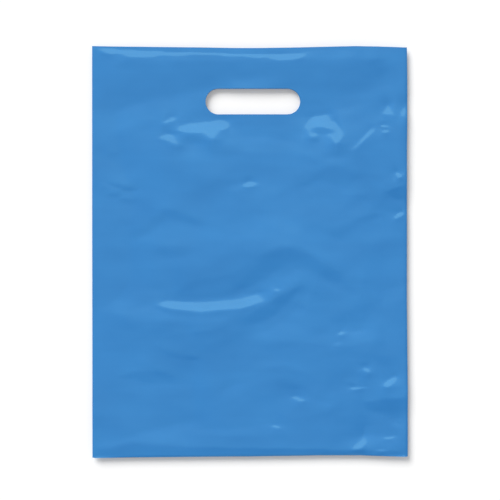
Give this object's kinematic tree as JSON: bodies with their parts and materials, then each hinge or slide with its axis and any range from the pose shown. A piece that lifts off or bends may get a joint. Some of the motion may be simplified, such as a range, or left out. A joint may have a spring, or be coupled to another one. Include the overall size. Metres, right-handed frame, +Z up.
{
  "type": "die-cut handle bag",
  "caption": "Flat plastic film carrier bag lying on its back, welded at the sides, folded at the bottom, open at the top, with a punched hand slot.",
  "frame": {"origin": "on the table under the middle of the bag, with the bag lying on its back", "axes": "+X across the bag to the right, +Y along the bag towards its mouth and hand slot, +Z up, out of the face that shows"},
  "size_m": [0.3, 0.39, 0.0075],
  "materials": {
    "film": "glossy blue polyethylene film"
  },
  "bodies": {
    "root": {"bag": "film"}
  },
  "joints": []
}
